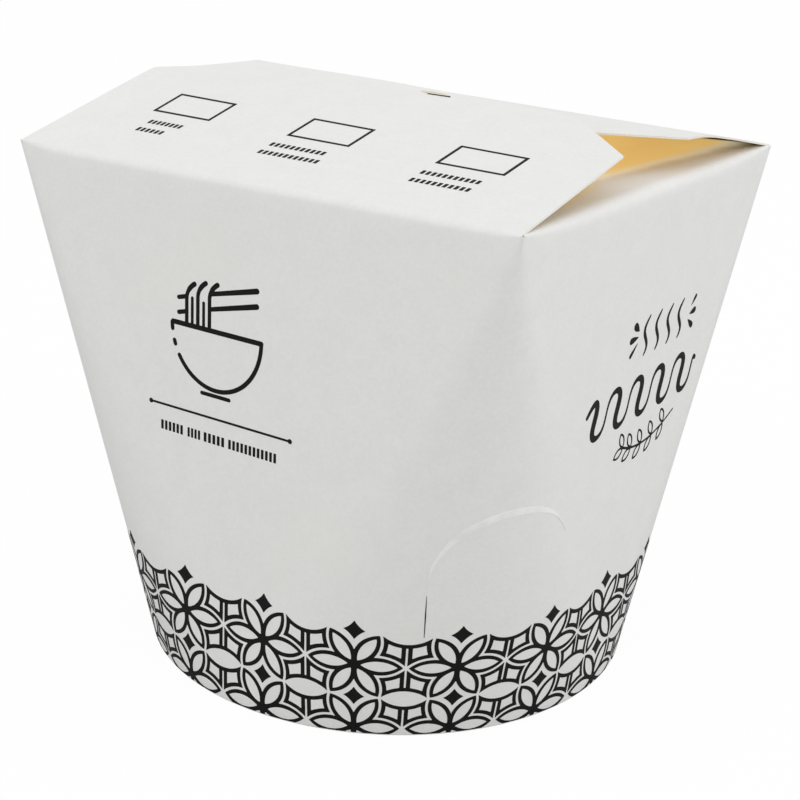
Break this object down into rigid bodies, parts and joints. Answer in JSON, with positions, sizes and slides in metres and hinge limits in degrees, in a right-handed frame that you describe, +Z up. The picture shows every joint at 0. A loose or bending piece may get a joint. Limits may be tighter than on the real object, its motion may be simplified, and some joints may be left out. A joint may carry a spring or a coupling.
{
  "type": "noodle takeaway box",
  "caption": "Shut paperboard noodle box, square at the rim and round at the foot, with a tucked lid flap that leans up like a low roof and a small gap at each end.",
  "frame": {"origin": "centre of the bounding box at the level the foot stands on", "axes": "+X to the right along the lid's fold, -Y out of the front wall that the lid hangs from, +Z up"},
  "size_m": [0.105, 0.094, 0.1089],
  "materials": {
    "carton": "white coated paperboard, matt, printed in black",
    "base": "white paperboard, matt"
  },
  "bodies": {
    "root": {"carton": "carton", "base": "base"}
  },
  "joints": []
}
